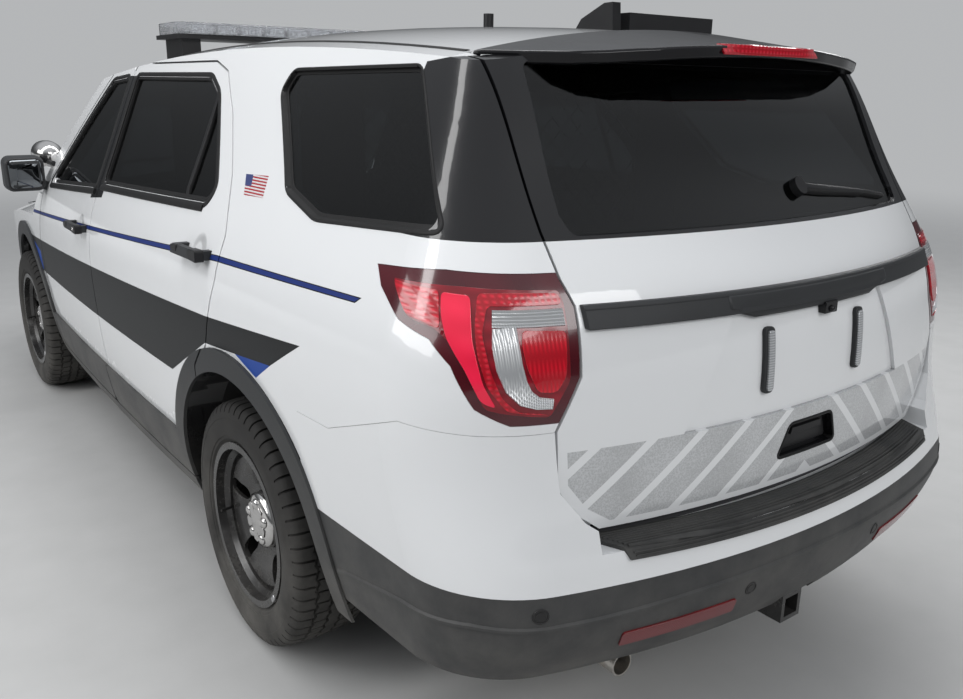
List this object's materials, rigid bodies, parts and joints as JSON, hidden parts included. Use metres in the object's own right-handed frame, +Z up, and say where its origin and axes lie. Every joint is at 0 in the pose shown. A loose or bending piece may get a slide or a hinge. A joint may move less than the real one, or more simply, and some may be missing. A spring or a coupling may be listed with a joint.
{
  "type": "police patrol car",
  "caption": "Mid-size police patrol SUV with opening doors, hood and liftgate, steered front wheels, roof light bar, and dark cladding.",
  "frame": {"origin": "on the ground below the middle of the car's length and width", "axes": "+X to the car's left, +Y to its rear, +Z up"},
  "size_m": [2.239, 5.0392, 1.8018],
  "materials": {
    "white_paint": "gloss",
    "dark_glass": "tinted",
    "black_plastic": "grained",
    "gloss_black": "gloss",
    "clear_lens": "clear",
    "red_lens": "gloss",
    "floor_carpet": "matte",
    "cabin_plastic": "grained",
    "seat_cloth": "woven",
    "bench_plastic": "moulded",
    "black_steel": "satin",
    "cast_iron": "rough",
    "exhaust_steel": "satin",
    "tyre": "matte"
  },
  "bodies": {
    "body": {"body_side_left": "white_paint", "body_side_right": "white_paint", "rear_panel": "white_paint", "roof_panel": "white_paint", "fixed_glass": "dark_glass", "cowl": "black_plastic", "floor_pan": "floor_carpet", "rear_wheelhouses": "black_plastic", "front_wheelhouses": "black_plastic", "front_fenders": "white_paint", "headlamps": "clear_lens", "grille": "black_plastic", "front_bumper": "white_paint", "rear_bumper": "white_paint", "rear_valance": "black_plastic", "step_pad": "black_plastic", "tail_lamps": "red_lens", "body_cladding": "black_plastic", "dashboard": "cabin_plastic", "front_seats": "seat_cloth", "rear_bench": "bench_plastic", "partitions": "black_steel", "engine": "cast_iron", "radiator": "black_steel", "fuel_tank": "black_steel", "exhaust": "exhaust_steel", "front_suspension": "black_steel", "rear_suspension": "black_steel", "light_bar": "black_plastic", "light_bar_lens": "clear_lens", "outside_fittings": "black_plastic", "tow_receiver": "black_steel"},
    "hood": {"hood": "white_paint"},
    "liftgate": {"liftgate": "white_paint", "liftgate_glass": "dark_glass", "liftgate_trim": "black_plastic", "spoiler": "gloss_black"},
    "steering_wheel": {"steering_wheel": "cabin_plastic"},
    "front_door_left": {"front_door_left": "white_paint", "front_door_glass_left": "dark_glass", "front_door_trim_left": "black_plastic"},
    "front_door_right": {"front_door_right": "white_paint", "front_door_glass_right": "dark_glass", "front_door_trim_right": "black_plastic"},
    "rear_door_left": {"rear_door_left": "white_paint", "rear_door_glass_left": "dark_glass", "rear_door_trim_left": "black_plastic"},
    "rear_door_right": {"rear_door_right": "white_paint", "rear_door_glass_right": "dark_glass", "rear_door_trim_right": "black_plastic"},
    "knuckle_left": {"knuckle_left": "cast_iron"},
    "knuckle_right": {"knuckle_right": "cast_iron"},
    "front_wheel_left": {"front_tyre_left": "tyre", "front_rim_left": "black_steel"},
    "front_wheel_right": {"front_tyre_right": "tyre", "front_rim_right": "black_steel"},
    "rear_wheel_left": {"rear_tyre_left": "tyre", "rear_rim_left": "black_steel"},
    "rear_wheel_right": {"rear_tyre_right": "tyre", "rear_rim_right": "black_steel"}
  },
  "joints": [
    {"name": "hood_hinge", "type": "hinge", "parent": "body", "child": "hood", "pos_m": [0, -1.15, 1.092], "axis": [-1, 0, 0], "range_deg": [0, 55]},
    {"name": "liftgate_hinge", "type": "hinge", "parent": "body", "child": "liftgate", "pos_m": [0, 1.935, 1.712], "axis": [1, 0, 0], "range_deg": [0, 80]},
    {"name": "front_door_left_hinge", "type": "hinge", "parent": "body", "child": "front_door_left", "pos_m": [0.974, -1.094, 0.8], "axis": [0, 0, -1], "range_deg": [0, 65]},
    {"name": "front_door_right_hinge", "type": "hinge", "parent": "body", "child": "front_door_right", "pos_m": [-0.974, -1.094, 0.8], "axis": [0, 0, 1], "range_deg": [0, 65]},
    {"name": "rear_door_left_hinge", "type": "hinge", "parent": "body", "child": "rear_door_left", "pos_m": [1, -0.027, 0.8], "axis": [0, 0, -1], "range_deg": [0, 65]},
    {"name": "rear_door_right_hinge", "type": "hinge", "parent": "body", "child": "rear_door_right", "pos_m": [-1, -0.027, 0.8], "axis": [0, 0, 1], "range_deg": [0, 65]},
    {"name": "steer_left", "type": "hinge", "parent": "body", "child": "knuckle_left", "pos_m": [0.7, -1.558, 0.165], "axis": [-0.0814, 0, 0.9967], "range_deg": [-35, 35]},
    {"name": "steer_right", "type": "hinge", "parent": "body", "child": "knuckle_right", "pos_m": [-0.7, -1.558, 0.165], "axis": [0.0814, 0, 0.9967], "range_deg": [-35, 35]},
    {"name": "front_wheel_left_spin", "type": "hinge", "parent": "knuckle_left", "child": "front_wheel_left", "pos_m": [0.851, -1.558, 0.363], "axis": [1, 0, 0], "continuous": true},
    {"name": "front_wheel_right_spin", "type": "hinge", "parent": "knuckle_right", "child": "front_wheel_right", "pos_m": [-0.851, -1.558, 0.363], "axis": [1, 0, 0], "continuous": true},
    {"name": "rear_wheel_left_spin", "type": "hinge", "parent": "body", "child": "rear_wheel_left", "pos_m": [0.851, 1.308, 0.363], "axis": [1, 0, 0], "continuous": true},
    {"name": "rear_wheel_right_spin", "type": "hinge", "parent": "body", "child": "rear_wheel_right", "pos_m": [-0.851, 1.308, 0.363], "axis": [1, 0, 0], "continuous": true},
    {"name": "steering_wheel_turn", "type": "hinge", "parent": "body", "child": "steering_wheel", "pos_m": [0.372, -0.54, 0.955], "axis": [0, 0.9135, 0.4067], "range_deg": [-540, 540]}
  ],
  "couplings": [
    {"joint": "steer_right", "follows": "steer_left", "ratio": 1},
    {"joint": "steering_wheel_turn", "follows": "steer_left", "ratio": 15.4}
  ]
}
